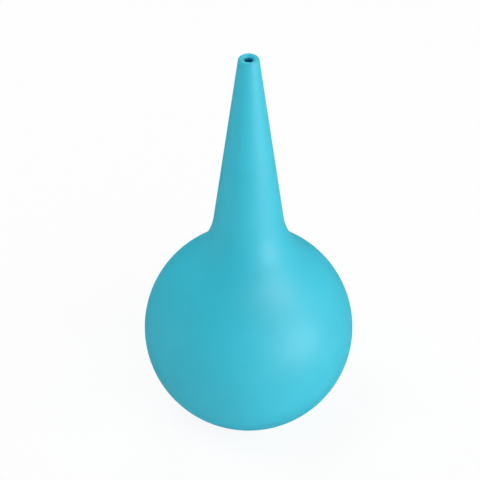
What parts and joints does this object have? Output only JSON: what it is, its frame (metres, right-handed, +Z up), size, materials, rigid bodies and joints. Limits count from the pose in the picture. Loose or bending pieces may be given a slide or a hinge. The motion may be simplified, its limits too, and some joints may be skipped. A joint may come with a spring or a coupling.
{
  "type": "nasal aspirator",
  "caption": "Baby nasal aspirator: a round soft squeeze bulb with a flared shoulder and a slim tapered nozzle that pulls out of its neck for cleaning.",
  "frame": {"origin": "centre of the flat foot under the bulb, on the ground", "axes": "+Z up along the axis of the bulb and nozzle, towards the tip; the piece is round, so +X and +Y are free"},
  "size_m": [0.05, 0.05, 0.1016],
  "materials": {
    "bulb_soft": "satin",
    "nozzle_soft": "satin"
  },
  "bodies": {
    "bulb": {"bulb": "bulb_soft"},
    "nozzle": {"nozzle": "nozzle_soft"},
    "base": {"bulb_base": "bulb_soft"}
  },
  "joints": [
    {"name": "nozzle_pull", "type": "slide", "parent": "bulb", "child": "nozzle", "axis": [0, 0, 1], "range_m": [0, 0.014]},
    {"name": "bulb_squeeze", "type": "slide", "parent": "bulb", "child": "base", "axis": [0, 0, 1], "range_m": [0, 0.016], "stiffness_N_per_m": 700}
  ]
}
